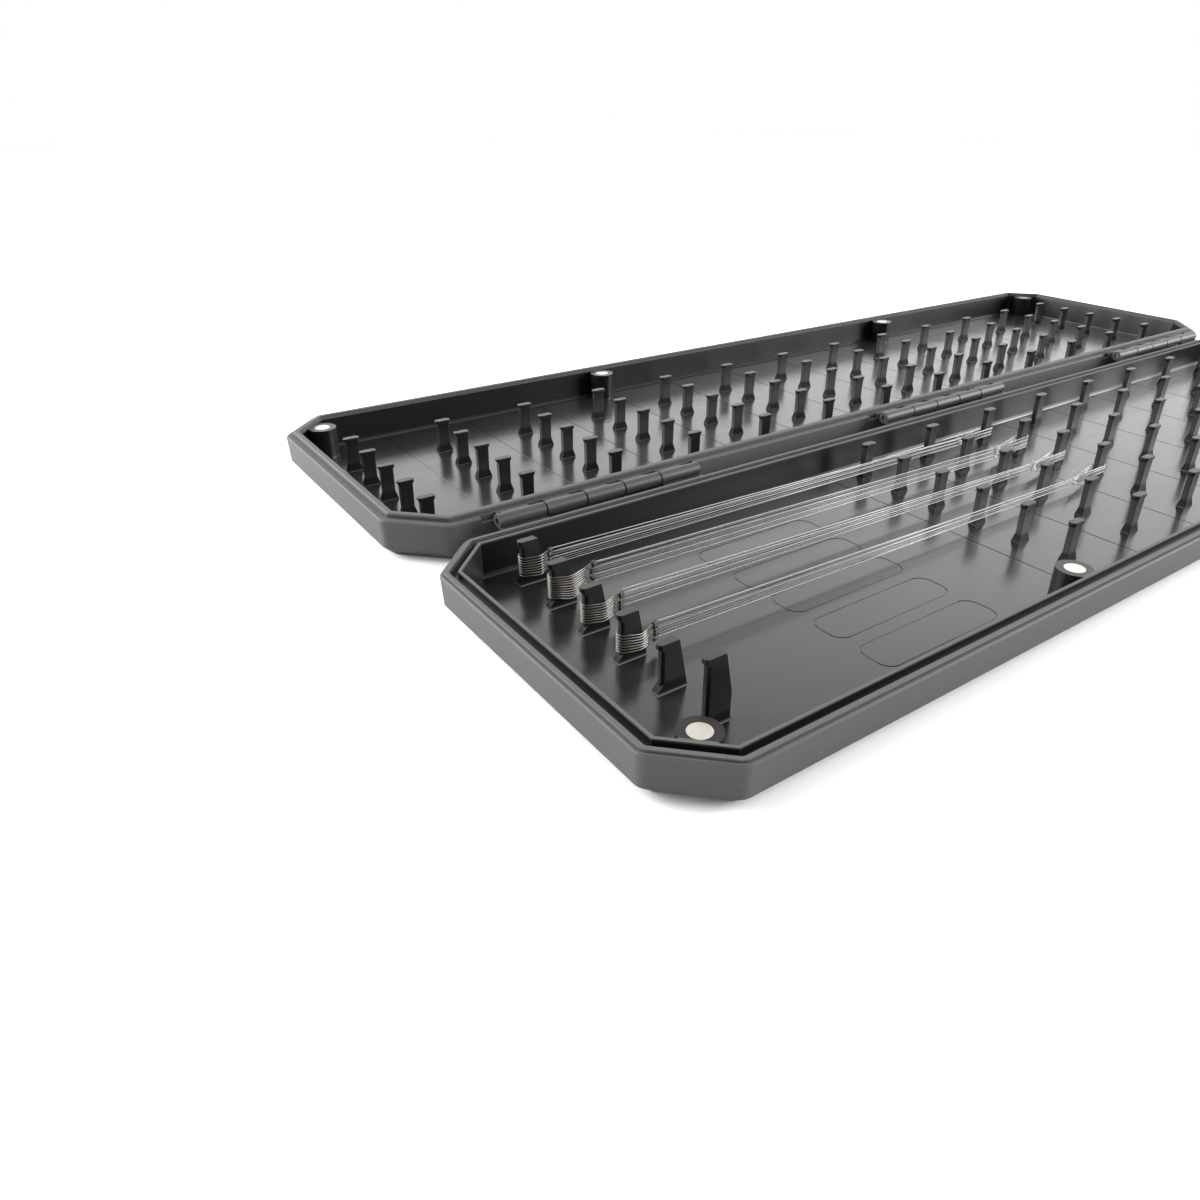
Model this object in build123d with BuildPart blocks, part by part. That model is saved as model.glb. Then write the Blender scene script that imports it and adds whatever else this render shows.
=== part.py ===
from build123d import *
import os
from math import atan, degrees, sqrt

os.makedirs("parts", exist_ok=True)

# A slim fishing rig box lying open on a table. Two long eight-sided trays are joined along
# one long side by three barrel hinges. X runs along the box, the hinge axis runs along X
# above Y = 0, the base tray lies on the -Y side and the lid tray on the +Y side, Z = 0 is
# the table.

# Trays
tray_length = 333.0
tray_width = 84.5
tray_height = 9.0
corner_cut = 10.6
corner_radius = 2.8
floor_thickness = 1.5
underside_inset = 2.9
underside_height = 2.4
underside_radius = 0.8
wall_lean = 0.3
rim_edge_chamfer = 0.3
cut_overrun = 1.0

# Hinge line between the two trays
hinge_gap = 6.8
closed_gap = 0.1
hinge_axis_height = tray_height + closed_gap / 2
tray_near_edge = hinge_gap / 2
tray_centre = tray_near_edge + tray_width / 2
tray_far_edge = tray_near_edge + tray_width

# Seal of the two rims: a groove in the base, behind a raised strip, takes a tongue on the lid
shoulder_width = 0.8
shoulder_drop = 0.45
strip_edge_chamfer = 0.1
groove_inset = 1.7
groove_width = 1.65
groove_depth = 1.5
inner_lip_width = 0.6
tongue_inset = 1.85
tongue_width = 1.3
tongue_height = 1.0
tongue_lead = 0.25
lid_wall_top = 3.2
wall_foot_thickness = 4.1
foot_bead_size = 0.7

# Base interior: a row of hook posts, then a grid of line posts
column_pitch = 11.27
first_column_inset = 10.86
hook_post_inset = 18.9
row_pitch = 25.0
first_row_lead = 98.55
base_post_height = 9.1

# Lid interior: a grid of line posts
lid_column_offset = 3.9
lid_first_row_inset = 12.2
lid_post_height = 8.7

# Line posts: oblong spools with a wide foot, a waist and a thin cap
post_foot_length = 4.1
post_foot_width = 2.1
post_flare_height = 2.0
post_waist_length = 2.9
post_waist_width = 1.35
post_neck_length = 3.1
post_cap_length = 4.0
post_cap_width = 1.8
post_cap_thickness = 0.55
post_neck_rise = 0.45
post_cap_corner = 0.4

# Hook posts: blades that stand along the box, capped over the side that the bends go round
blade_height = 9.4
blade_thickness = 1.7
blade_front = 1.6
blade_cap_front = 2.15
blade_cap_height = 1.3
blade_cap_rise = 0.35
blade_top_back = 1.8
blade_foot_back = 3.7
blade_foot_front = 2.6
blade_flare_height = 1.3
blade_bead_size = 0.35
blade_edge_cut = 0.45
blade_lift = 3.4

# Magnets and their bosses
magnet_diameter = 4.0
magnet_thickness = 2.5
magnet_fit = 0.02
boss_diameter = 7.1
corner_magnet_lead = 9.95
corner_magnet_inset = 9.45
side_magnet_lead = 100.25
side_magnet_inset = 7.0

# Hinges
hinge_count = 3
hinge_end_inset = 19.8
hinge_length = 53.4
knuckle_diameter = 3.0
knuckle_slit = 0.4
middle_knuckle_count = 3
middle_knuckle_length = 9.8
pin_diameter = 1.2
pin_clearance = 0.05
pin_end_recess = 0.5
web_thickness = 1.9
web_reach = 0.8
plate_drop = 0.15
base_web_drop = 1.0
web_start_share = 0.8
tab_length = 6.2
tab_clearance = 0.35
notch_length = 3.8
notch_depth = 1.3
notch_width = 1.2

# Marks scribed in the floors
scribe_width = 0.3
scribe_depth = 0.15
scribe_lead = 9.0
label_length = 32.5
label_width = 8.4
label_radius = 3.0
label_lead = 34.5
label_shift = 2.2
label_count = 5

# Stored rigs on the first four hook posts
rig_counts = [8, 10, 8, 7]
rig_eye_reach = [4.9, 8.2, 7.0, 6.6]
rig_first_height = 2.05
rig_pitch = 0.46
wire_diameter = 0.36
bend_radius = 1.35
bend_centre_back = 0.65
bend_segments = 6
hook_tilt = 9.5
hook_point_reach = 2.4
hook_point_length = 0.9
snell_length = 1.7
snell_width = 0.62
snell_height = 0.42
line_diameter = 0.24
line_side = 1.5
loop_knot_back = 13.2
loop_knot_length = 1.5
loop_knot_height = 0.26
loop_side = 1.1
loop_end = 2.0
loop_turn_share = 0.85
loop_first_height = 1.5
loop_pitch = 0.3
loop_row = 2

# Values worked out from those above
base_plane = Plane((0, -tray_centre, 0))
lid_plane = Plane((0, tray_centre, 0))
shoulder_height = tray_height - shoulder_drop
cavity_depth = tray_height - floor_thickness
lip_inset = groove_inset + groove_width
base_cavity_inset = lip_inset + inner_lip_width
knuckle_radius = knuckle_diameter / 2
web_end = tray_near_edge + web_reach
tab_start_y = knuckle_radius + tab_clearance
middle_knuckle_pitch = middle_knuckle_length + knuckle_slit
end_knuckle_length = (hinge_length - middle_knuckle_count * middle_knuckle_pitch - knuckle_slit) / 2
hinge_pitch = (tray_length - 2 * hinge_end_inset - hinge_length) / (hinge_count - 1)
hinge_centres = [(n - (hinge_count - 1) / 2) * hinge_pitch for n in range(hinge_count)]
corner_magnet_x = tray_length / 2 - corner_magnet_lead
side_magnet_x = tray_length / 2 - side_magnet_lead
corner_magnet_y = tray_far_edge - corner_magnet_inset
side_magnet_y = tray_far_edge - side_magnet_inset
magnet_places = [
    (-corner_magnet_x, corner_magnet_y),
    (-side_magnet_x, side_magnet_y),
    (side_magnet_x, side_magnet_y),
    (corner_magnet_x, corner_magnet_y),
]

# As many columns of posts as stand clear of the magnet bosses, with the lid's columns between
# the base's once the box is shut, and as many rows as fit before the right end wall
boss_edge = tray_width - side_magnet_inset - boss_diameter / 2
column_room = boss_edge - first_column_inset - post_foot_width / 2
column_count = int(column_room / column_pitch) + 1
first_column_y = tray_near_edge + first_column_inset
base_columns = [-first_column_y - n * column_pitch for n in range(column_count)]
lid_columns = [first_column_y + lid_column_offset + n * column_pitch for n in range(column_count - 1)]
hook_post_x = hook_post_inset - tray_length / 2
last_row_x = tray_length / 2 - wall_foot_thickness - post_foot_length / 2
first_row_x = hook_post_x + first_row_lead
base_row_count = int((last_row_x - first_row_x) / row_pitch) + 1
base_rows = [first_row_x + n * row_pitch for n in range(base_row_count)]
lid_first_row_x = lid_first_row_inset - tray_length / 2
lid_row_count = int((last_row_x - lid_first_row_x) / row_pitch) + 1
lid_rows = [lid_first_row_x + n * row_pitch for n in range(lid_row_count)]


# Eight-sided outline of a tray, drawn about the tray's own centre and moved in from the edge
def tray_outline(inset, radius):
    half_x = tray_length / 2 - inset
    half_y = tray_width / 2 - inset
    cut = corner_cut - inset * (2 - sqrt(2))
    with BuildSketch(mode=Mode.PRIVATE) as outline:
        with BuildLine():
            Polyline(
                (half_x - cut, -half_y),
                (half_x, cut - half_y),
                (half_x, half_y - cut),
                (half_x - cut, half_y),
                (cut - half_x, half_y),
                (-half_x, half_y - cut),
                (-half_x, cut - half_y),
                (cut - half_x, -half_y),
                close=True,
            )
        make_face()
        if radius > 0:
            fillet(outline.vertices(), radius=radius)
    return outline.sketch


# Body whose outline changes from layer to layer, each a height, an inset and a corner radius
def outline_stack(plane, layers):
    with BuildPart(mode=Mode.PRIVATE) as body:
        for (low, low_inset, low_radius), (high, high_inset, high_radius) in zip(layers, layers[1:]):
            with BuildSketch(plane.offset(low)):
                add(tray_outline(low_inset, low_radius))
            with BuildSketch(plane.offset(high)):
                add(tray_outline(high_inset, high_radius))
            loft(ruled=True)
    return body.part


# Outside of a tray up to the given height: a cut underside, a leaning wall and a broken edge
def tray_block(plane, height):
    layers = [
        (0, underside_inset, underside_radius),
        (underside_height, wall_lean, corner_radius),
        (height - rim_edge_chamfer, 0, corner_radius),
        (height, rim_edge_chamfer, corner_radius),
    ]
    return outline_stack(plane, layers)


# Room inside a tray, from the foot of its walls up to the given wall thickness at the rim
def tray_room(plane, top_thickness):
    layers = [(floor_thickness, wall_foot_thickness, 0), (tray_height, top_thickness, 0)]
    return outline_stack(plane, layers)


# Disc of a magnet boss, trimmed so that it stays inside one of the tray's outlines
def boss_sketch(place, plane_centre, inset):
    with BuildSketch(mode=Mode.PRIVATE) as disc:
        with Locations((place[0], place[1] - plane_centre)):
            Circle(boss_diameter / 2)
        add(tray_outline(inset, 0), mode=Mode.INTERSECT)
    return disc.sketch


# Half of a post's outline above the floor, from its foot up to its cap, as seen from one side
def post_outline(height, foot, waist, neck, cap):
    under_cap = height - post_cap_thickness
    side = [
        (foot / 2, 0),
        (waist / 2, post_flare_height),
        (neck / 2, under_cap - post_neck_rise),
        (cap / 2, under_cap),
        (cap / 2, height),
    ]
    with BuildSketch(mode=Mode.PRIVATE) as outline:
        with BuildLine():
            Polyline(*side, *[(-x, y) for x, y in reversed(side)], close=True)
        make_face()
    return outline.sketch


# Spool post for the lines: its outline along the box cut by its outline across the box
def line_post(height):
    along = post_outline(height, post_foot_length, post_waist_length, post_neck_length, post_cap_length)
    across = post_outline(height, post_foot_width, post_waist_width, post_waist_width, post_cap_width)
    with BuildPart(mode=Mode.PRIVATE) as post:
        with BuildSketch(Plane.XZ.shift_origin((0, 0, floor_thickness))):
            add(along)
        extrude(amount=post_foot_width, both=True)
        with BuildSketch(Plane.YZ.shift_origin((0, 0, floor_thickness))):
            add(across)
        extrude(amount=post_foot_length, both=True, mode=Mode.INTERSECT)
        chamfer(post.edges().filter_by(Axis.Z), length=post_cap_corner)
    return post.part


base_post = line_post(base_post_height)
lid_post = line_post(lid_post_height)


# Blade post that the hook bends hang round, raised by the given height on a straight foot
def hook_post(lift):
    top = floor_thickness + lift + blade_height
    back = [(blade_top_back, top), (blade_foot_back, floor_thickness + lift)]
    if lift > 0:
        back.append((blade_foot_back, floor_thickness))
    with BuildPart(mode=Mode.PRIVATE) as blade:
        with BuildSketch(Plane.XZ):
            with BuildLine():
                Polyline(
                    (-blade_foot_front, floor_thickness),
                    (-blade_front, floor_thickness + blade_flare_height),
                    (-blade_front, top - blade_cap_height),
                    (-blade_cap_front, top - blade_cap_height + blade_cap_rise),
                    (-blade_cap_front, top),
                    *back,
                    close=True,
                )
            make_face()
        extrude(amount=blade_thickness / 2, both=True)
        chamfer(blade.edges().filter_by(Axis.Z), length=blade_edge_cut)
        with BuildSketch(Plane(((blade_foot_back - blade_foot_front) / 2, 0, floor_thickness))):
            Rectangle(blade_foot_back + blade_foot_front, blade_thickness + 2 * blade_bead_size)
        extrude(amount=blade_bead_size, taper=45)
    return blade.part


low_blade = hook_post(0)
tall_blade = hook_post(blade_lift)


# Shallow lines across a floor, one ahead of each row of posts
def row_scribes(rows, width):
    with BuildSketch(mode=Mode.PRIVATE) as lines:
        with Locations(*[(x - scribe_lead, 0) for x in rows]):
            Rectangle(scribe_width, width)
        add(tray_outline(wall_foot_thickness + foot_bead_size, 0), mode=Mode.INTERSECT)
    return lines.sketch


# Shallow rounded frames in the base floor, one beside each line of posts
def label_frames():
    centres = [
        (hook_post_x + label_lead + label_length / 2, y - label_shift + tray_centre)
        for y in base_columns[1 : 1 + label_count]
    ]
    with BuildSketch(mode=Mode.PRIVATE) as frames:
        with Locations(*centres):
            RectangleRounded(label_length, label_width, label_radius)
        with Locations(*centres):
            RectangleRounded(
                label_length - 2 * scribe_width,
                label_width - 2 * scribe_width,
                label_radius - scribe_width,
                mode=Mode.SUBTRACT,
            )
    return frames.sketch


# Bead of plastic along the foot of one long wall, as wide as the straight part of that wall
def foot_bead(wall_y, inward):
    length = tray_length - 2 * corner_cut
    with BuildPart(mode=Mode.PRIVATE) as bead:
        with BuildSketch(Plane.YZ.offset(-length / 2)):
            with BuildLine():
                Polyline(
                    (wall_y - inward * foot_bead_size, floor_thickness),
                    (wall_y + inward * foot_bead_size, floor_thickness),
                    (wall_y, floor_thickness + foot_bead_size),
                    (wall_y - inward * foot_bead_size, floor_thickness + foot_bead_size),
                    close=True,
                )
            make_face()
        extrude(amount=length)
    return bead.part


# Height of the lid's hinge plates, which slope from the crest of the knuckles down to the rim
def plate_top(y):
    crest = hinge_axis_height + knuckle_radius - plate_drop
    return crest - (crest - tray_height) * y / web_end


# Profile across the hinge of a web between a knuckle and its tray's wall, on the given side
def web_profile(side, start_y, start_top, end_top):
    with BuildSketch(mode=Mode.PRIVATE) as profile:
        with BuildLine():
            Polyline(
                (side * start_y, start_top),
                (side * web_end, end_top),
                (side * web_end, end_top - web_thickness - web_reach),
                (side * start_y, hinge_axis_height - web_start_share * knuckle_radius),
                close=True,
            )
        make_face()
    return profile.sketch


# One run of a web or a knuckle, from its left end along the hinge
def hinge_run(profile, start_x, length):
    with BuildPart(mode=Mode.PRIVATE) as run:
        with BuildSketch(Plane.YZ.offset(start_x)):
            add(profile)
        extrude(amount=length)
    return run.part


# Round profile of a knuckle, a pin or a bore about the hinge axis
def axis_disc(diameter):
    with BuildSketch(mode=Mode.PRIVATE) as disc:
        with Locations((0, hinge_axis_height)):
            Circle(diameter / 2)
    return disc.sketch


knuckle_disc = axis_disc(knuckle_diameter)
bore_disc = axis_disc(pin_diameter + 2 * pin_clearance)
pin_disc = axis_disc(pin_diameter)
base_web = web_profile(-1, 0, tray_height - base_web_drop, tray_height - base_web_drop)
lid_web = web_profile(1, 0, plate_top(0), tray_height)
lid_tab = web_profile(1, tab_start_y, plate_top(tab_start_y), tray_height)


# Left ends of the two outer knuckles and of the middle ones, measured from the hinge's middle
end_knuckles = [-hinge_length / 2, hinge_length / 2 - end_knuckle_length]
middle_start = end_knuckles[0] + end_knuckle_length + knuckle_slit
middle_knuckles = [middle_start + n * middle_knuckle_pitch for n in range(middle_knuckle_count)]


# Base tray: drafted shell with a grooved rim, magnet bosses and the end knuckles
with BuildPart() as base_tray:
    add(tray_block(base_plane, shoulder_height))
    with BuildSketch(base_plane.offset(shoulder_height)):
        add(tray_outline(shoulder_width, corner_radius - shoulder_width))
    extrude(amount=shoulder_drop)
    chamfer(base_tray.faces().sort_by(Axis.Z)[-1].edges(), length=strip_edge_chamfer)
    add(tray_room(base_plane, base_cavity_inset), mode=Mode.SUBTRACT)
    with BuildSketch(base_plane.offset(floor_thickness)):
        for x, y in magnet_places:
            add(boss_sketch((x, -y), -tray_centre, lip_inset))
    extrude(amount=cavity_depth)
    with BuildSketch(base_plane.offset(tray_height)):
        add(tray_outline(groove_inset, corner_radius - groove_inset))
        add(tray_outline(lip_inset, 0), mode=Mode.SUBTRACT)
    extrude(amount=-groove_depth, mode=Mode.SUBTRACT)
    with BuildSketch(Plane.XY.offset(tray_height)):
        with Locations(*[(x, -y) for x, y in magnet_places]):
            Circle(magnet_diameter / 2 + magnet_fit)
    extrude(amount=-magnet_thickness, mode=Mode.SUBTRACT)
    add(foot_bead(-tray_near_edge - wall_foot_thickness, -1))
    with BuildSketch(base_plane.offset(floor_thickness)):
        add(row_scribes(base_rows, tray_width))
        add(label_frames())
    extrude(amount=-scribe_depth, mode=Mode.SUBTRACT)
    for centre in hinge_centres:
        for start in end_knuckles:
            add(hinge_run(base_web, centre + start, end_knuckle_length))
            add(hinge_run(knuckle_disc, centre + start, end_knuckle_length))
            add(hinge_run(bore_disc, centre + start, end_knuckle_length), mode=Mode.SUBTRACT)
base_tray.part.label = "base_tray"
export_step(base_tray.part, "parts/base_tray.step")

# Lid tray: the same shell with a tongue on its rim and the three middle knuckles
with BuildPart() as lid_tray:
    add(tray_block(lid_plane, tray_height))
    with BuildSketch(lid_plane.offset(tray_height)):
        add(tray_outline(tongue_inset, corner_radius - tongue_inset))
    extrude(amount=tongue_height)
    chamfer(lid_tray.faces().sort_by(Axis.Z)[-1].edges(), length=tongue_lead)
    with BuildSketch(lid_plane.offset(tray_height)):
        add(tray_outline(tongue_inset + tongue_width, 0))
    extrude(amount=tongue_height + cut_overrun, mode=Mode.SUBTRACT)
    add(tray_room(lid_plane, lid_wall_top), mode=Mode.SUBTRACT)
    with BuildSketch(lid_plane.offset(floor_thickness)):
        for x, y in magnet_places:
            add(boss_sketch((x, y), tray_centre, tongue_inset + tongue_width))
    extrude(amount=cavity_depth)
    with BuildSketch(Plane.XY.offset(tray_height)):
        with Locations(*magnet_places):
            Circle(magnet_diameter / 2 + magnet_fit)
    extrude(amount=-magnet_thickness, mode=Mode.SUBTRACT)
    add(foot_bead(tray_far_edge - wall_foot_thickness, -1))
    with BuildSketch(lid_plane.offset(floor_thickness)):
        add(row_scribes(lid_rows[1:], tray_width))
    extrude(amount=-scribe_depth, mode=Mode.SUBTRACT)
    for centre in hinge_centres:
        ends = end_knuckles[:1] + middle_knuckles + end_knuckles[1:] + [hinge_length / 2]
        notch_places = [(centre + x, tray_near_edge + notch_width / 2) for x in ends]
        with BuildSketch(Plane.XY.offset(tray_height)):
            with Locations(*notch_places):
                Rectangle(notch_length, notch_width)
        extrude(amount=-notch_depth, mode=Mode.SUBTRACT)
        for start in middle_knuckles:
            web_start = start + (middle_knuckle_length - tab_length) / 2
            add(hinge_run(lid_web, centre + web_start, tab_length))
            add(hinge_run(knuckle_disc, centre + start, middle_knuckle_length))
            add(hinge_run(bore_disc, centre + start, middle_knuckle_length), mode=Mode.SUBTRACT)
        for start in end_knuckles:
            tab_start = start + (end_knuckle_length - tab_length) / 2
            add(hinge_run(lid_tab, centre + tab_start, tab_length))
lid_tray.part.label = "lid_tray"
export_step(lid_tray.part, "parts/lid_tray.step")

# Steel hinge pins
for name, centre in zip(("left", "middle", "right"), hinge_centres):
    start = centre - hinge_length / 2 + pin_end_recess
    with BuildPart() as hinge_pin:
        add(hinge_run(pin_disc, start, hinge_length - 2 * pin_end_recess))
    hinge_pin.part.label = f"hinge_pin_{name}"
    export_step(hinge_pin.part, f"parts/hinge_pin_{name}.step")

# Disc magnets, flush with their bosses
for tray_name, side in (("base", -1), ("lid", 1)):
    for number, (x, y) in enumerate(magnet_places, 1):
        with BuildPart() as magnet:
            with BuildSketch(Plane((x, side * y, tray_height))):
                Circle(magnet_diameter / 2)
            extrude(amount=-magnet_thickness)
        magnet.part.label = f"{tray_name}_magnet_{number}"
        export_step(magnet.part, f"parts/{tray_name}_magnet_{number}.step")

# Hook posts in one row, the last one raised beside the corner magnet
with BuildPart() as hook_posts:
    with Locations(*[(hook_post_x, y) for y in base_columns[:-1]]):
        add(low_blade)
    with Locations((hook_post_x, base_columns[-1])):
        add(tall_blade)
hook_posts.part.label = "hook_posts"
export_step(hook_posts.part, "parts/hook_posts.step")

# Rows of line posts
for number, x in enumerate(base_rows, 1):
    with BuildPart() as post_row:
        with Locations(*[(x, y) for y in base_columns]):
            add(base_post)
    post_row.part.label = f"base_post_row_{number}"
    export_step(post_row.part, f"parts/base_post_row_{number}.step")
for number, x in enumerate(lid_rows, 1):
    with BuildPart() as post_row:
        with Locations(*[(x, y) for y in lid_columns]):
            add(lid_post)
    post_row.part.label = f"lid_post_row_{number}"
    export_step(post_row.part, f"parts/lid_post_row_{number}.step")


# Points round the bend of a hook at the given radius, from its point side to its shank side
def bend_points(radius):
    centre = Vector(-bend_centre_back, 0)
    turns = [180 * n / bend_segments for n in range(bend_segments + 1)]
    return [centre + Vector(0, radius).rotate(Axis.Z, turn) for turn in turns]


# Fine wire hook, its bend round the front of a hook post, drawn flat about the post
def rig_hook(eye_reach):
    outer_radius = bend_radius + wire_diameter / 2
    inner_radius = bend_radius - wire_diameter / 2
    with BuildPart(mode=Mode.PRIVATE) as hook:
        with BuildSketch():
            with BuildLine():
                Polyline(
                    (hook_point_reach + hook_point_length, outer_radius),
                    *bend_points(outer_radius),
                    (eye_reach - snell_length, -outer_radius),
                    (eye_reach - snell_length, -inner_radius),
                    *reversed(bend_points(inner_radius)),
                    (hook_point_reach, inner_radius),
                    close=True,
                )
            make_face()
        extrude(amount=wire_diameter / 2, both=True)
    return hook.part


# Tying of a line on the shank of a hook, drawn flat about the post
def rig_tying(eye_reach):
    with BuildPart(mode=Mode.PRIVATE) as tying:
        with BuildSketch():
            with Locations((eye_reach - snell_length / 2, -bend_radius)):
                Rectangle(snell_length, snell_width)
        extrude(amount=snell_height / 2, both=True)
    return tying.part


# Straight run, knot and loop of a rig's line, drawn flat from the eye to a post
def rig_line(post_reach):
    knot_x = post_reach - loop_knot_back
    with BuildPart(mode=Mode.PRIVATE) as rig:
        with BuildSketch():
            with Locations((knot_x, -line_side)):
                Rectangle(loop_knot_length, snell_width)
        extrude(amount=loop_knot_height / 2, both=True)
        with BuildSketch():
            with BuildLine() as run:
                Line((0, -bend_radius), (knot_x, -line_side))
            trace(run.line, line_width=line_diameter)
            with BuildLine() as loop:
                Polyline(
                    (knot_x, -line_side),
                    (post_reach - loop_turn_share * loop_end, -loop_side),
                    (post_reach + loop_turn_share * loop_end, -loop_side),
                    (post_reach + loop_end, -loop_turn_share * loop_side),
                    (post_reach + loop_end, loop_turn_share * loop_side),
                    (post_reach + loop_turn_share * loop_end, loop_side),
                    (post_reach - loop_turn_share * loop_end, loop_side),
                    close=True,
                )
            trace(loop.line, line_width=line_diameter)
        extrude(amount=line_diameter / 2, both=True)
    return rig.part


# Banks of stored rigs, each hook rising to its eye and each line falling from there to its loop
for number, count in enumerate(rig_counts, 1):
    reach = rig_eye_reach[number - 1]
    place_y = base_columns[number - 1]
    heights = [floor_thickness + rig_first_height + n * rig_pitch for n in range(count)]
    hook_places = [Location((hook_post_x, place_y, z), (0, -hook_tilt, 0)) for z in heights]
    starts = [(place * Location((reach - line_diameter, 0, 0))).position for place in hook_places]
    post_reach = base_rows[loop_row] - starts[0].X
    line_places = []
    for n, start in enumerate(starts):
        fall = start.Z - (floor_thickness + loop_first_height + n * loop_pitch)
        line_places.append(Location(start, (0, degrees(atan(fall / post_reach)), 0)))
    with BuildPart() as hook_bank:
        with Locations(*hook_places):
            add(rig_hook(reach))
    hook_bank.part.label = f"rig_hooks_{number}"
    export_step(hook_bank.part, f"parts/rig_hooks_{number}.step")
    with BuildPart() as line_bank:
        with Locations(*hook_places):
            add(rig_tying(reach))
        with Locations(*line_places):
            add(rig_line(post_reach))
    line_bank.part.label = f"rig_lines_{number}"
    export_step(line_bank.part, f"parts/rig_lines_{number}.step")
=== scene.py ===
import math
import random

import bmesh
import bpy
from mathutils import Matrix, Vector


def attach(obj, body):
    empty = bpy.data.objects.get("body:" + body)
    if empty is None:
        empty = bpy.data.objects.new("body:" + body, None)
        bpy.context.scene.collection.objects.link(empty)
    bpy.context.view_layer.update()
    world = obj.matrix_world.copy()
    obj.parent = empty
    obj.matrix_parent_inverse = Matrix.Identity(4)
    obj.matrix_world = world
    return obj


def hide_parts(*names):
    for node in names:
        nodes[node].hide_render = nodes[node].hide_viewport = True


# Fishing rig box lying open: two charcoal trays with rows of posts, nickel magnets, and
# banks of fine hooks whose clear lines run to loops round the posts.

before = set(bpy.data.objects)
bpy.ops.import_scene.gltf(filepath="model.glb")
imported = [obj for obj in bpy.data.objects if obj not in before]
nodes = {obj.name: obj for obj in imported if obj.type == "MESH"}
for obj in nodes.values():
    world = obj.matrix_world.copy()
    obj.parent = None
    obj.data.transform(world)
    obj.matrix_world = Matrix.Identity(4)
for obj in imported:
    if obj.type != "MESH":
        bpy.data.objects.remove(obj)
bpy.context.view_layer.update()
MM = 0.001

# Sizes of the trays, in millimetres as in the model
tray_length = 333.0
tray_width = 84.5
tray_height = 9.0
corner_cut = 10.6
tray_centre = 45.65
floor_top = 1.5

# Insets from the outline of a tray where its finish changes, in millimetres. A pair is the start
# and the end of the change, which otherwise takes the blur on each side.
finish_blur = 0.05
# On the base the dark polished colour reaches out over the groove: painted shade in the groove
groove_shade_inset = 1.75
lid_polish_inset = 3.15
boss_inset = 4.2
plate_end = (1.2, 1.15)
knuckle_start = (-0.02, -0.07)

# Heights where the finish of a tray or a post changes, in millimetres, given in the same way
base_polish_top = tray_height - 0.3
lid_polish_top = tray_height - 0.15
underside_end = (floor_top - 0.3, floor_top - 0.2)
floor_end = (floor_top + 0.3, floor_top + 0.15)
plate_start = (tray_height + 0.03, tray_height + 0.08)
# Top of the light ring painted round a post's foot, a painted highlight of its fillet
foot_highlight_end = (floor_top + 0.22, floor_top + 0.12)
foot_end = (floor_top + 1.6, floor_top + 2.4)

# Widths of the rounding on moulded edges, in millimetres, and the least angle between the faces
# of an edge, in degrees
soft_edges = {"tray": 0.18, "post": 0.16, "hook_posts": 0.32}
sharp_angle = 28

# Stored rigs, in millimetres as in the model
hook_post_x = -147.6
first_column_y = -14.26
column_pitch = 11.27
loop_post_x = 0.95
rig_counts = (8, 10, 8, 7)

# Heights over the table of the lowest and highest hook of each bank, at the front of the bend,
# where the shank leaves the blade and at the eye, and how far the eye lies along the box
front_heights = ((3.55, 7.45), (3.75, 8.15), (3.95, 7.55), (3.6, 7.0))
turn_heights = ((3.2, 7.3), (2.85, 7.75), (3.5, 7.2), (3.3, 6.45))
eye_heights = ((4.1, 7.5), (4.6, 8.6), (4.5, 8.0), (3.95, 7.15))
eye_reaches = (4.95, 7.85, 6.6, 5.9)

# Wire of a hook: its point, its bend round the blade, and the shank that slants to the eye
wire_radius = 0.125
wire_sides = 8
point_places = ((3.3, 0.2, 0.25), (2.4, 0.0, 0.1))
bend_radius = 1.35
bend_centre_back = 0.65
bend_steps = 12
turn_reach = 1.7
turn_side = 1.7
turn_share = 0.85
shank_share = 0.12
shank_steps = 6
eye_side = 0.45

# Coils of the tying, and the sleeve over the eye
coil_radius = 0.19
coil_sides = 6
coil_length = 1.9
coil_count = 7
coil_back = 0.35
sleeve_radius = 0.42
sleeve_sides = 10
sleeve_length = 1.0
sleeve_steps = 4
sleeve_past_eye = 0.15
sleeve_slide_share = 0.6
bare_hook_share = 0.2

# Line, its knot with the cut end that sticks out, and its loop
line_radius = 0.085
line_sides = 6
line_side = 1.5
knot_radius = 0.2
knot_steps = (-0.7, -0.25, 0.25, 0.7)
loop_knot_back = 13.2
loop_flank_back = 1.2
loop_side = 1.1
loop_end = 2.0
loop_steps = 8
loop_first_height = 3.0
loop_pitch = 0.3
tag_spans = ((-1.6, -0.6), (-0.4, 0.9), (0.5, 1.5))
tag_steps = (0.0, 0.6, 1.3)

# How far stored rigs stray from an even stack, in millimetres
height_stray = (-0.04, 0.04)
reach_stray = (-0.3, 0.2)
turn_stray = (-0.02, 0.03)
slide_stray = (-0.2, 0.3)
coil_stray = (-0.03, 0.03)
loop_stray = (-0.22, 0.22)
knot_stray = (-0.7, 0.7)
start_side_stray = (-0.12, 0.12)
start_height_stray = (-0.16, 0.16)

# Range in which a noise mostly lies
noise_span = (0.3, 0.7)


# sRGB hex colour as linear RGBA
def hex_colour(text):
    channels = [int(text[n : n + 2], 16) / 255 for n in (1, 3, 5)]
    linear = [c / 12.92 if c <= 0.04045 else ((c + 0.055) / 1.055) ** 2.4 for c in channels]
    return (*linear, 1.0)


# Sets or links the inputs of a node, given by name or in their order
def set_inputs(tree, node, inputs):
    pairs = inputs.items() if isinstance(inputs, dict) else enumerate(inputs)
    for key, value in pairs:
        if isinstance(value, bpy.types.NodeSocket):
            tree.links.new(value, node.inputs[key])
        else:
            node.inputs[key].default_value = value


# Adds a node with its settings and inputs, and gives one of its outputs
def add_node(tree, kind, inputs=(), output=0, **settings):
    node = tree.nodes.new(kind)
    for name, value in settings.items():
        setattr(node, name, value)
    set_inputs(tree, node, inputs)
    return node.outputs[output]


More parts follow.
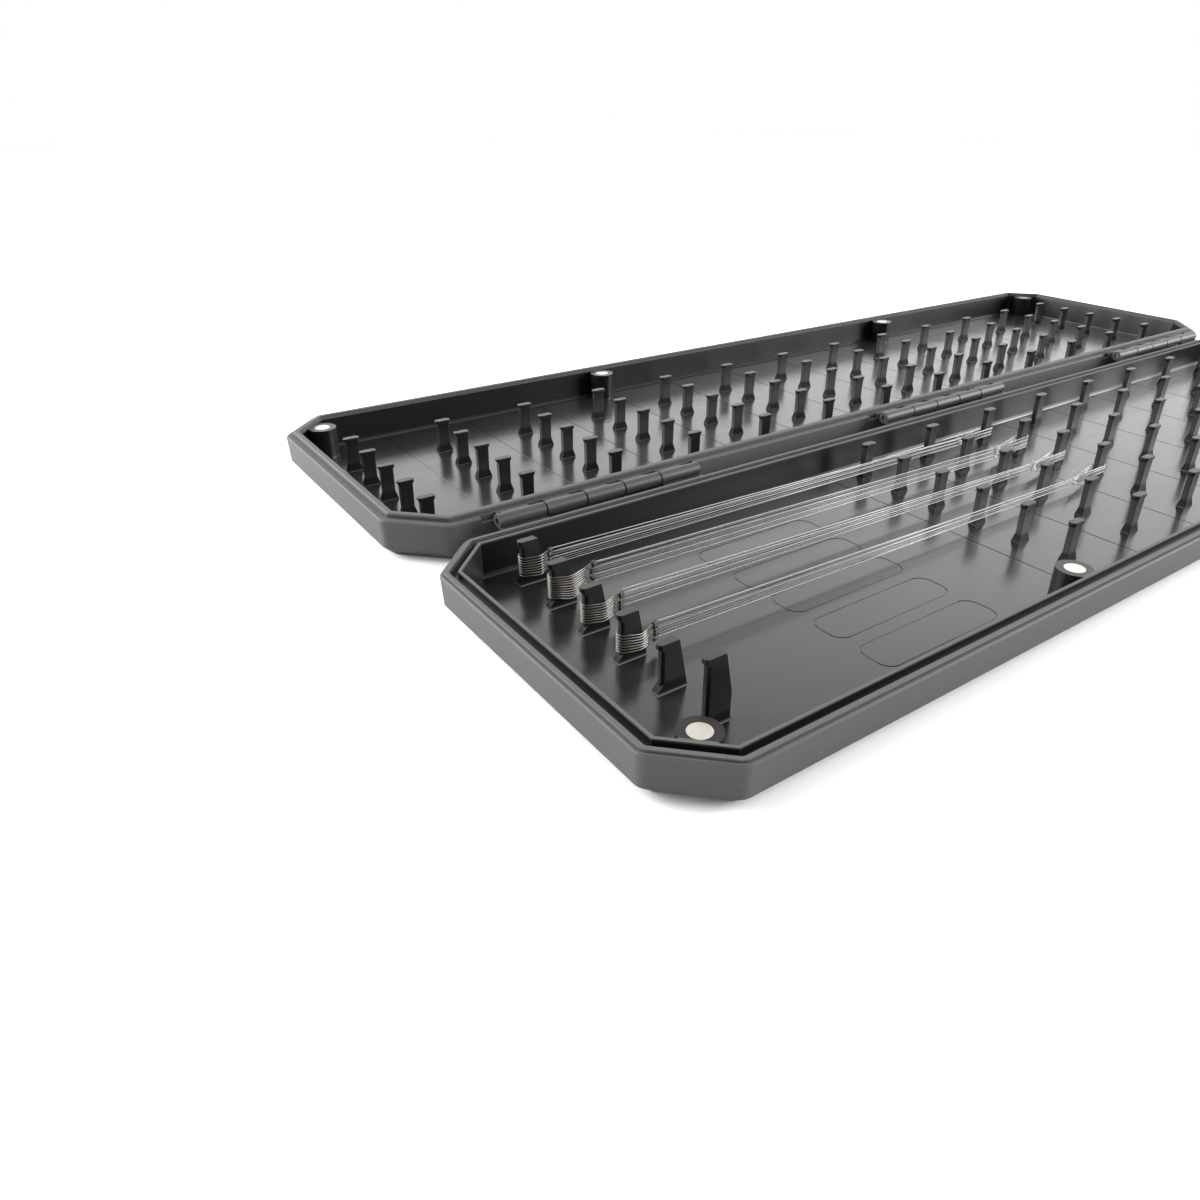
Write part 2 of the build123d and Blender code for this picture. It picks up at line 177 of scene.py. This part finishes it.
# New material with its node tree and its surface shader
def new_material(name):
    material = bpy.data.materials.new(name)
    material.use_nodes = True
    return material, material.node_tree, material.node_tree.nodes["Principled BSDF"]


# Noise in the piece's own space, with features of about the given size in millimetres
def grain(tree, size, detail=2.0, roughness=0.5, stretch=(1, 1, 1)):
    place = add_node(tree, "ShaderNodeTexCoord", output="Object")
    scaled = add_node(tree, "ShaderNodeMapping", {"Vector": place, "Scale": stretch})
    noise = {"Vector": scaled, "Scale": 1 / (size * MM), "Detail": detail, "Roughness": roughness}
    return add_node(tree, "ShaderNodeTexNoise", noise, "Fac")


# Colour made of a first one with others laid over it, each where its cover is 1
def layer_colours(tree, first, *layers):
    colour = hex_colour(first)
    for cover, text in layers:
        pair = {"Factor": cover, "A": colour, "B": hex_colour(text)}
        colour = add_node(tree, "ShaderNodeMix", pair, "Result", data_type="RGBA")
    return colour


# A point's place in the box, in millimetres
def place_in_box(tree):
    place = add_node(tree, "ShaderNodeTexCoord", output="Object")
    return add_node(tree, "ShaderNodeVectorMath", (place, (1 / MM,) * 3), operation="MULTIPLY")


# How far in from the outline of its tray a point lies, in millimetres
def tray_inset(tree, place):
    half_size = (tray_length / 2, tray_width / 2, 0)
    folded = add_node(tree, "ShaderNodeVectorMath", (place,), operation="ABSOLUTE")
    from_middle = add_node(
        tree, "ShaderNodeVectorMath", (folded, (0, tray_centre, 0)), operation="SUBTRACT"
    )
    across = add_node(tree, "ShaderNodeVectorMath", (from_middle,), operation="ABSOLUTE")
    inward = add_node(tree, "ShaderNodeVectorMath", (half_size, across), operation="SUBTRACT")
    from_end = add_node(tree, "ShaderNodeSeparateXYZ", (inward,), "X")
    from_side = add_node(tree, "ShaderNodeSeparateXYZ", (inward,), "Y")
    from_both = add_node(tree, "ShaderNodeMath", (from_end, from_side), operation="ADD")
    past_cut = add_node(tree, "ShaderNodeMath", (from_both, corner_cut), operation="SUBTRACT")
    from_cut = add_node(tree, "ShaderNodeMath", (past_cut, math.sqrt(2)), operation="DIVIDE")
    inset = add_node(tree, "ShaderNodeMath", (from_end, from_side), operation="MINIMUM")
    return add_node(tree, "ShaderNodeMath", (inset, from_cut), operation="MINIMUM")


# Zones of a tray with a finish of their own, each 1 on the zone and 0 elsewhere: the polished
# inside between the rims, which on the base reaches out over the groove as painted shade, the
# floor, and the knuckles and plates of the hinges
def tray_zones(tree):
    place = place_in_box(tree)
    inset = tray_inset(tree, place)
    height = add_node(tree, "ShaderNodeSeparateXYZ", (place,), "Z")
    to_lid = add_node(tree, "ShaderNodeSeparateXYZ", (place,), "Y")
    on_lid = (to_lid, 0, 1)
    polish_and_shade_inset = add_node(
        tree, "ShaderNodeMapRange", (*on_lid, groove_shade_inset, lid_polish_inset)
    )
    polish_top = add_node(tree, "ShaderNodeMapRange", (*on_lid, base_polish_top, lid_polish_top))
    past_rim = add_node(tree, "ShaderNodeMath", (inset, polish_and_shade_inset), operation="SUBTRACT")
    past_rim = add_node(tree, "ShaderNodeMapRange", (past_rim, -finish_blur, finish_blur))
    under_rim = add_node(tree, "ShaderNodeMath", (height, polish_top), operation="SUBTRACT")
    under_rim = add_node(tree, "ShaderNodeMapRange", (under_rim, finish_blur, -finish_blur))
    polish_and_shade = add_node(tree, "ShaderNodeMath", (past_rim, under_rim), operation="MULTIPLY")
    boss_edge = (boss_inset - finish_blur, boss_inset + finish_blur)
    on_boss = add_node(tree, "ShaderNodeMapRange", (inset, *boss_edge))
    polish_and_shade = add_node(tree, "ShaderNodeMath", (polish_and_shade, on_boss), operation="MAXIMUM")
    over_underside = add_node(tree, "ShaderNodeMapRange", (height, *underside_end))
    inside = add_node(tree, "ShaderNodeMath", (polish_and_shade, over_underside), operation="MULTIPLY")
    on_floor = add_node(tree, "ShaderNodeMapRange", (height, *floor_end))
    over_rim = add_node(tree, "ShaderNodeMapRange", (height, *plate_start))
    near_edge = add_node(tree, "ShaderNodeMapRange", (inset, *plate_end))
    on_plate = add_node(tree, "ShaderNodeMath", (over_rim, near_edge), operation="MULTIPLY")
    on_knuckle = add_node(tree, "ShaderNodeMapRange", (inset, *knuckle_start))
    on_hinge = add_node(tree, "ShaderNodeMath", (on_knuckle, on_plate), operation="MAXIMUM")
    return inside, on_floor, on_hinge


# Injection-moulded charcoal ABS. Outside and on the rims it has a fine spark-eroded texture,
# drawn coarser than it is so that it shows, which makes it matt and greyer. The hinge parts are
# darker and smoother. Inside the walls the mould was polished, so the floor is dark and mirrors
# the posts, softened by slow ripples of the moulding, and the walls shine less. The polished
# colour is painted darker still on the walls and over the groove of the base: painted shade of
# these recesses.
def tray_plastic():
    outer_roughness, hinge_roughness = (0.6, 0.7), 0.47
    floor_roughness, wall_roughness = (0.17, 0.23), 0.3
    outer_shine, floor_shine, wall_shine = 0.3, 0.5, 0.18
    speckle_span = (0.35, 0.65)
    texture_depth, texture_strength, ripple_strength = 0.02 * MM, 0.5, 0.6
    material, tree, shader = new_material("charcoal_abs_moulded")
    inside, on_floor, on_hinge = tray_zones(tree)
    outside = add_node(tree, "ShaderNodeMath", (1.0, inside), operation="SUBTRACT")
    off_floor = add_node(tree, "ShaderNodeMath", (1.0, on_floor), operation="SUBTRACT")
    on_wall = add_node(tree, "ShaderNodeMath", (inside, off_floor), operation="MULTIPLY")

    cloud = grain(tree, size=40, detail=3.0)
    fine = grain(tree, size=0.35, detail=1.0)
    speckle = add_node(tree, "ShaderNodeMapRange", (fine, *speckle_span))
    matt = layer_colours(
        tree, "#424241", (cloud, "#494948"), (speckle, "#4c4c4b"), (on_hinge, "#383837")
    )
    # Painted shade: the polished colour is darker above the floor, on the walls and in the groove
    # of the base
    polish_and_shade = layer_colours(tree, "#1d1d1e", (cloud, "#212122"), (off_floor, "#161617"))
    pair = {"Factor": inside, "A": matt, "B": polish_and_shade}
    colour = add_node(tree, "ShaderNodeMix", pair, "Result", data_type="RGBA")

    rub = grain(tree, size=3.0, detail=4.0, roughness=0.6, stretch=(0.25, 1, 1))
    floor_blur = add_node(tree, "ShaderNodeMapRange", (rub, *noise_span, *floor_roughness))
    pair = {"Factor": on_floor, "A": wall_roughness, "B": floor_blur}
    inner_blur = add_node(tree, "ShaderNodeMix", pair)
    outer_blur = add_node(tree, "ShaderNodeMapRange", (fine, *noise_span, *outer_roughness))
    pair = {"Factor": on_hinge, "A": outer_blur, "B": hinge_roughness}
    outer_blur = add_node(tree, "ShaderNodeMix", pair)
    pair = {"Factor": inside, "A": outer_blur, "B": inner_blur}
    roughness = add_node(tree, "ShaderNodeMix", pair)
    pair = {"Factor": on_wall, "A": floor_shine, "B": wall_shine}
    inner_shine = add_node(tree, "ShaderNodeMix", pair)
    pair = {"Factor": inside, "A": outer_shine, "B": inner_shine}
    shine = add_node(tree, "ShaderNodeMix", pair)

    texture = add_node(tree, "ShaderNodeMath", (fine, outside), operation="MULTIPLY")
    waves = grain(tree, size=9.0, detail=1.0)
    ripple = add_node(tree, "ShaderNodeMath", (waves, inside), operation="MULTIPLY")
    relief = {"Height": texture, "Distance": texture_depth, "Strength": texture_strength}
    normal = add_node(tree, "ShaderNodeBump", relief)
    relief |= {"Height": ripple, "Strength": ripple_strength, "Normal": normal}
    normal = add_node(tree, "ShaderNodeBump", relief)
    surface = {
        "Base Color": colour,
        "Roughness": roughness,
        "Specular IOR Level": shine,
        "IOR": 1.59,
        "Normal": normal,
    }
    set_inputs(tree, shader, surface)
    return material


# The same ABS on the posts, straight off a plain steel mould: nearly black and satin, with faint
# draw marks. Towards the foot it hardly shines, and a thin light ring is painted round it on the
# floor, a painted highlight of the fillet at its foot.
def post_plastic():
    roughness = (0.34, 0.46)
    shine = (0.1, 0.42)
    material, tree, shader = new_material("charcoal_abs_posts")
    height = add_node(tree, "ShaderNodeSeparateXYZ", (place_in_box(tree),), "Z")
    foot_highlight = add_node(tree, "ShaderNodeMapRange", (height, *foot_highlight_end))
    cloud = grain(tree, size=6)
    marks = grain(tree, size=0.6, stretch=(1, 1, 0.15))
    relief = {"Height": marks, "Distance": 0.01 * MM, "Strength": 0.5}
    surface = {
        # Painted highlight: a thin light ring round the foot of each post
        "Base Color": layer_colours(tree, "#121213", (cloud, "#171718"), (foot_highlight, "#5c5c5b")),
        "Roughness": add_node(tree, "ShaderNodeMapRange", (marks, *noise_span, *roughness)),
        "Specular IOR Level": add_node(tree, "ShaderNodeMapRange", (height, *foot_end, *shine)),
        "IOR": 1.52,
        "Normal": add_node(tree, "ShaderNodeBump", relief),
    }
    set_inputs(tree, shader, surface)
    return material


# Material whose colour and roughness wander between two values each over a grain of the given
# settings, with further inputs of its shader
def grained_material(name, settings, colours, roughness, inputs=(), colour_span=(0, 1)):
    material, tree, shader = new_material(name)
    noise = grain(tree, **settings)
    first, second = colours
    cover = add_node(tree, "ShaderNodeMapRange", (noise, *colour_span))
    surface = {
        "Base Color": layer_colours(tree, first, (cover, second)),
        "Roughness": add_node(tree, "ShaderNodeMapRange", (noise, *noise_span, *roughness)),
    }
    set_inputs(tree, shader, surface)
    set_inputs(tree, shader, inputs)
    return material


tray_abs = tray_plastic()
post_abs = post_plastic()
metal = {"Metallic": 1.0}
nylon = {"IOR": 1.53}

# Nickel-plated magnet: bright warm white metal, softly blurred by its barrel-tumbled face
nickel = grained_material(
    "nickel_plate_tumbled",
    {"size": 1.1},
    colours=("#c6c0b9", "#bab5ae"),
    roughness=(0.22, 0.3),
    inputs=metal,
)

# Drawn steel of the hinge pins: grey metal with streaks along the wire
steel = grained_material(
    "steel_wire_drawn",
    {"size": 0.3, "stretch": (0.02, 1, 1)},
    colours=("#a7a7a9", "#8f8f92"),
    roughness=(0.25, 0.4),
    inputs=metal,
)

# Black-nickel hook wire: satin grey metal with soft highlights along its bends
wire_metal = grained_material(
    "black_nickel_wire",
    {"size": 1.5},
    colours=("#6f6c67", "#827e79"),
    roughness=(0.3, 0.36),
    inputs=metal,
)

# Short moulded rubber sleeve over the eye: nearly black and matt, a little dusty
sleeve_black = grained_material(
    "black_sleeve_rubber",
    {"size": 0.3},
    colours=("#0f0f10", "#1c1b1b"),
    roughness=(0.4, 0.55),
)

# Drawn nylon monofilament, really clear and seen by the light that it catches. Here it is an
# opaque glossy thread with that light painted in: pale, a painted highlight, on the lines chosen
# to catch the light, and grey, painted shade, on the others.
line_colours = {
    "nylon_monofilament_painted_lit": ("#d8d8d7", "#bfbfbe"),
    "nylon_monofilament_painted_shade": ("#939392", "#7f7f7e"),
}
lit_nylon, faint_nylon = [
    grained_material(
        name,
        {"size": 4.0, "detail": 1.0},
        colours=colours,
        roughness=(0.15, 0.25),
        inputs=nylon,
    )
    for name, colours in line_colours.items()
]

# Tight coils of nylon round a dark shank: greyish, with the wire showing between the turns
coil_nylon = grained_material(
    "nylon_coils_on_wire",
    {"size": 0.22},
    colours=("#262422", "#76726e"),
    roughness=(0.2, 0.35),
    inputs=nylon,
    colour_span=(0.42, 0.62),
)

# Nylon pulled tight in a knot: whitish in patches, a painted glint of the light that the tight
# wraps catch
glint_knot_nylon = grained_material(
    "nylon_knot_painted_glint",
    {"size": 0.3},
    colours=("#dcdad7", "#8d8984"),
    roughness=(0.3, 0.45),
    inputs=nylon,
)

# Materials of a bank's hooks and of its lines, and the places of each in their slots
hook_materials = (wire_metal, sleeve_black, coil_nylon)
line_materials = (lit_nylon, glint_knot_nylon, faint_nylon)
wire_slot, sleeve_slot, coil_slot = range(3)
lit_slot, knot_slot, faint_slot = range(3)


# Node group that shades a mesh smoothly but for its sharp edges
def smooth_shading():
    group = bpy.data.node_groups.new("smooth_shading", "GeometryNodeTree")
    for direction in ("INPUT", "OUTPUT"):
        group.interface.new_socket(
            "Geometry", in_out=direction, socket_type="NodeSocketGeometry"
        )
    start = add_node(group, "NodeGroupInput")
    faces = add_node(
        group,
        "GeometryNodeSetShadeSmooth",
        {"Geometry": start, "Shade Smooth": True},
        domain="FACE",
    )
    angle = add_node(group, "GeometryNodeInputMeshEdgeAngle", output="Unsigned Angle")
    sharp = add_node(
        group, "FunctionNodeCompare", (angle, math.radians(sharp_angle)), operation="GREATER_THAN"
    )
    edges = add_node(
        group,
        "GeometryNodeSetShadeSmooth",
        {"Geometry": faces, "Selection": sharp, "Shade Smooth": False},
        domain="EDGE",
    )
    end = group.nodes.new("NodeGroupOutput")
    group.links.new(edges, end.inputs[0])
    return group


smooth_group = smooth_shading()


# Gives a model node a material in place of its own
def dress(node, material):
    data = nodes[node].data
    data.materials.clear()
    data.materials.append(material)


# Rounds the edges of a model node slightly, as moulding does, without touching its mesh
def soften(node, width):
    piece = nodes[node]
    weld = piece.modifiers.new("weld", "WELD")
    weld.merge_threshold = 0.001 * MM
    shading = piece.modifiers.new("shading", "NODES")
    shading.node_group = smooth_group
    bevel = piece.modifiers.new("bevel", "BEVEL")
    bevel.width = width * MM
    bevel.segments = 3
    bevel.limit_method = "ANGLE"
    bevel.angle_limit = math.radians(sharp_angle)
    bevel.harden_normals = True


for name in nodes:
    if name.endswith("_tray"):
        dress(name, tray_abs)
        soften(name, soft_edges["tray"])
    elif "post" in name:
        dress(name, post_abs)
        soften(name, soft_edges.get(name, soft_edges["post"]))
    elif "magnet" in name:
        dress(name, nickel)
    elif name.startswith("hinge_pin"):
        dress(name, steel)


# Camera at the photograph's place, in millimetres, with its own right and forward directions
camera_place = (-224.38, -155.76, 88.6)
camera_right = Vector((0.81024, -0.58599, 0.01127))
camera_forward = Vector((0.5198, 0.70958, -0.47571))
photo_size = 1200.0
focal_pixels = 908.09
centre_pixel = (637.73, 579.08)
sensor_width = 36.0


def add_camera():
    data = bpy.data.cameras.new("camera")
    data.sensor_width = sensor_width
    data.lens = focal_pixels / photo_size * sensor_width
    data.shift_x = (photo_size / 2 - centre_pixel[0]) / photo_size
    data.shift_y = (centre_pixel[1] - photo_size / 2) / photo_size
    data.clip_start = 0.005
    data.clip_end = 20.0
    camera = bpy.data.objects.new("camera", data)
    bpy.context.scene.collection.objects.link(camera)
    forward = camera_forward.normalized()
    right = (camera_right - forward * camera_right.dot(forward)).normalized()
    up = right.cross(forward)
    turn = Matrix((right, up, -forward)).transposed().to_4x4()
    camera.matrix_world = Matrix.Translation(Vector(camera_place) * MM) @ turn
    bpy.context.scene.camera = camera


add_camera()


# Mesh object in the row frame, with its materials
def add_piece(name, builder, materials):
    mesh = bpy.data.meshes.new(name)
    builder.to_mesh(mesh)
    builder.free()
    for material in materials:
        mesh.materials.append(material)
    piece = bpy.data.objects.new(name, mesh)
    bpy.context.scene.collection.objects.link(piece)
    return piece


# Frames for the rings of a tube along a list of points, each with its third axis along the
# tube, turned no more than the tube bends
def ring_frames(points):
    frames = []
    side = None
    for n, point in enumerate(points):
        along = (points[min(n + 1, len(points) - 1)] - points[max(n - 1, 0)]).normalized()
        side = along.orthogonal() if side is None else side - along * side.dot(along)
        side.normalize()
        turn = Matrix((side.cross(along), side, along)).transposed().to_4x4()
        frames.append(Matrix.Translation(point) @ turn)
    return frames


# Adds a round tube along a list of points, in millimetres, closed at both ends
def add_tube(builder, points, radius, sides, slot):
    frames = ring_frames([Vector(point) * MM for point in points])
    first = bmesh.ops.create_circle(
        builder, segments=sides, radius=radius * MM, matrix=frames[0]
    )["verts"]
    ring = list(dict.fromkeys(edge for corner in first for edge in corner.link_edges))
    ends = [ring]
    walls = []
    for before, after in zip(frames, frames[1:]):
        added = bmesh.ops.extrude_edge_only(builder, edges=ring)["geom"]
        corners = [part for part in added if isinstance(part, bmesh.types.BMVert)]
        ring = [part for part in added if isinstance(part, bmesh.types.BMEdge)]
        walls += [part for part in added if isinstance(part, bmesh.types.BMFace)]
        bmesh.ops.transform(builder, matrix=after @ before.inverted(), verts=corners)
    ends.append(ring)
    caps = [bmesh.ops.edgeloop_fill(builder, edges=end)["faces"][0] for end in ends]
    for face in walls:
        face.smooth = True
    for face in walls + caps:
        face.material_index = slot
    bmesh.ops.recalc_face_normals(builder, faces=walls + caps)


# Points of an arc in the XY plane about a centre, in degrees
def arc_points(centre, radius, start, end, steps, height):
    points = []
    for n in range(steps + 1):
        angle = math.radians(start + (end - start) * n / steps)
        x = centre[0] + radius * math.cos(angle)
        y = centre[1] + radius * math.sin(angle)
        points.append(Vector((x, y, height)))
    return points


# Points along a curve that leaves one point towards a second and ends at a third
def curve_points(first, corner, last, steps):
    points = []
    for n in range(1, steps + 1):
        share = n / steps
        points.append(first.lerp(corner, share).lerp(corner.lerp(last, share), share))
    return points


draw = random.Random(7)


# Route of a hook's wire from its point to its eye, measured from the middle of its blade
def hook_route(reach, heights):
    front_z, turn_z, eye_z = heights
    eye = Vector((reach + draw.uniform(*reach_stray), -eye_side, eye_z))
    turn = Vector((turn_reach, -turn_side - draw.uniform(*turn_stray), turn_z))
    route = [Vector((x, bend_radius + y, front_z + z)) for x, y, z in point_places]
    route += arc_points((-bend_centre_back, 0), bend_radius, 90, 270, bend_steps, front_z)
    shank_start = route[-1]
    towards_turn = shank_start.lerp(turn, turn_share)
    route += curve_points(shank_start, towards_turn, turn.lerp(eye, shank_share), shank_steps)
    return route + [eye]


# Adds the tying of a line behind the eye of a hook, and a sleeve over most of the eyes
def add_tying(builder, route, usual_sleeve):
    eye = route[-1]
    along = (eye - route[-2]).normalized()
    slide = draw.uniform(*slide_stray)
    coil_end = eye - along * (coil_back + slide)
    coils = [coil_end - along * coil_length * n / coil_count for n in range(coil_count + 1)]
    for start, stop in zip(coils, coils[1:]):
        width = coil_radius + draw.uniform(*coil_stray)
        add_tube(builder, [start, start.lerp(stop, 0.5), stop], width, coil_sides, coil_slot)
    if usual_sleeve or draw.random() < bare_hook_share:
        end = eye + along * (sleeve_past_eye - slide * sleeve_slide_share)
        sleeve = [end - along * sleeve_length * n / sleeve_steps for n in range(sleeve_steps + 1)]
        add_tube(builder, sleeve, sleeve_radius, sleeve_sides, sleeve_slot)


# Adds a line from an eye to its knot, with the cut end, and its loop round the post
def add_line(builder, eye, column_y, height, slot):
    height += draw.uniform(*loop_stray)
    knot_back = loop_knot_back + draw.uniform(*knot_stray)
    knot = Vector((loop_post_x - knot_back, column_y - line_side, height))
    side, rise = draw.uniform(*start_side_stray), draw.uniform(*start_height_stray)
    add_tube(builder, [eye + Vector((0, side, rise)), knot], line_radius, line_sides, slot)
    flank_x = loop_post_x - loop_flank_back
    turn_centre = (loop_post_x + loop_end - loop_side, column_y)
    loop = [knot, Vector((flank_x, column_y - loop_side, height))]
    loop += arc_points(turn_centre, loop_side, -90, 90, loop_steps, height)
    loop += [Vector((flank_x, column_y + loop_side, height)), knot]
    add_tube(builder, loop, line_radius, line_sides, slot)
    wraps = [knot + Vector((x, 0, 0)) for x in knot_steps]
    add_tube(builder, wraps, knot_radius, line_sides, knot_slot)
    tag = Vector([draw.uniform(*span) for span in tag_spans])
    tag_points = [knot + tag * share for share in tag_steps]
    add_tube(builder, tag_points, line_radius, line_sides, knot_slot)


# One bank of stored hooks on its blade, and the lines that run from them. Two hooks in three have
# a sleeve for sure. Every third line and the top one are painted pale as if they catch the light,
# and the others grey as painted shade.
def add_rigs(number, count, reach, height_spans):
    column_y = first_column_y - column_pitch * (number - 1)
    origin = Vector((hook_post_x, column_y, 0))
    hooks = bmesh.new()
    lines = bmesh.new()
    for n in range(count):
        share = n / (count - 1)
        heights = [
            low + (high - low) * share + draw.uniform(*height_stray) for low, high in height_spans
        ]
        route = [origin + point for point in hook_route(reach, heights)]
        add_tube(hooks, route, wire_radius, wire_sides, wire_slot)
        add_tying(hooks, route, n % 3 != 1)
        # Painted light: pale lit nylon on every third line and the top one, grey shaded nylon on
        # the rest
        slot = lit_slot if n % 3 == 0 or n == count - 1 else faint_slot
        add_line(lines, route[-1], column_y, loop_first_height + n * loop_pitch, slot)
    bank = add_piece(f"hooks_bank_{number}", hooks, hook_materials)
    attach(bank, "base")
    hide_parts(f"rig_hooks_{number}")
    run = add_piece(f"lines_bank_{number}", lines, line_materials)
    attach(run, "base")
    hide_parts(f"rig_lines_{number}")


bank_heights = zip(front_heights, turn_heights, eye_heights)
for number, bank in enumerate(zip(rig_counts, eye_reaches, bank_heights), 1):
    add_rigs(number, *bank)


# Levels of the room, and how they change over the sines of height and of turn to the backdrop
room_level = 0.12
backdrop_direction = (0.59, 0.81, 0)
backdrop_heights = (0.4, 0.75)
backdrop_levels = (2.15, 0.9)
backdrop_edge = (-0.1, 0.6)
ceiling_heights = (0.15, 0.7)
ceiling_level = 0.75

# Half the width of the table top, in metres
table_half = 1.5


# 1 for rays of the given kinds, and 0 for the rest of the light
def seen_by(tree, *rays):
    seen = 0.0
    for ray in rays:
        path = add_node(tree, "ShaderNodeLightPath", output=ray)
        seen = add_node(tree, "ShaderNodeMath", (seen, path), operation="MAXIMUM")
    return seen


# Matt table top, which keeps the soft shadow: white to the camera and in reflections, and light
# grey to the light that it throws back on the box
def add_table():
    builder = bmesh.new()
    bmesh.ops.create_grid(builder, x_segments=1, y_segments=1, size=table_half)
    material, tree, shader = new_material("white_table")
    seen = seen_by(tree, "Is Camera Ray", "Is Glossy Ray", "Is Transmission Ray")
    colour = layer_colours(tree, "#dcdcdc", (seen, "#ffffff"))
    surface = {"Base Color": colour, "Roughness": 0.9, "Specular IOR Level": 0.0}
    set_inputs(tree, shader, surface)
    table = add_piece("table", builder, [material])


# Room that the camera sees as plain white. What lights the box and shows in its polished floors
# is a lit backdrop on the far side, brightest low down, a ceiling that is less bright, and a dim
# wall behind the camera.
def light_room():
    world = bpy.data.worlds.new("white_room")
    bpy.context.scene.world = world
    world.use_nodes = True
    tree = world.node_tree
    direction = add_node(tree, "ShaderNodeTexCoord", output="Generated")
    height = add_node(tree, "ShaderNodeSeparateXYZ", (direction,), "Z")
    back = add_node(
        tree,
        "ShaderNodeVectorMath",
        (direction, backdrop_direction),
        "Value",
        operation="DOT_PRODUCT",
    )
    backdrop = add_node(tree, "ShaderNodeMapRange", (height, *backdrop_heights, *backdrop_levels))
    ceiling = add_node(
        tree, "ShaderNodeMapRange", (height, *ceiling_heights, room_level, ceiling_level)
    )
    on_backdrop = add_node(tree, "ShaderNodeMapRange", (back, *backdrop_edge))
    pair = {"Factor": on_backdrop, "A": ceiling, "B": backdrop}
    room = add_node(tree, "ShaderNodeMix", pair)
    seen = seen_by(tree, "Is Camera Ray", "Is Transmission Ray")
    strength = add_node(tree, "ShaderNodeMix", {"Factor": seen, "A": room, "B": 1.0})
    surface = {"Color": (1, 1, 1, 1), "Strength": strength}
    set_inputs(tree, tree.nodes["Background"], surface)


# Soft box: a lamp that spreads its light evenly from a disc, with lengths in metres
def add_lamp(name, place, aim, size, power):
    data = bpy.data.lights.new(name, "AREA")
    data.shape = "DISK"
    data.size = size
    data.energy = power
    lamp = bpy.data.objects.new(name, data)
    lamp.location = place
    lamp.rotation_mode = "QUATERNION"
    lamp.rotation_quaternion = (Vector(aim) - Vector(place)).to_track_quat("-Z", "Y")
    bpy.context.scene.collection.objects.link(lamp)


add_table()
light_room()
add_lamp("left_soft_box", place=(-0.74, 0.62, 0.34), aim=(-0.1, 0, 0), size=0.9, power=21.5)
add_lamp("right_soft_box", place=(0.95, -0.72, 0.46), aim=(0, 0, 0), size=0.9, power=27.0)
add_lamp("top_soft_box", place=(0.15, 0.3, 1.3), aim=(0, 0, 0), size=0.6, power=2.5)
bpy.context.scene.view_settings.view_transform = "Standard"
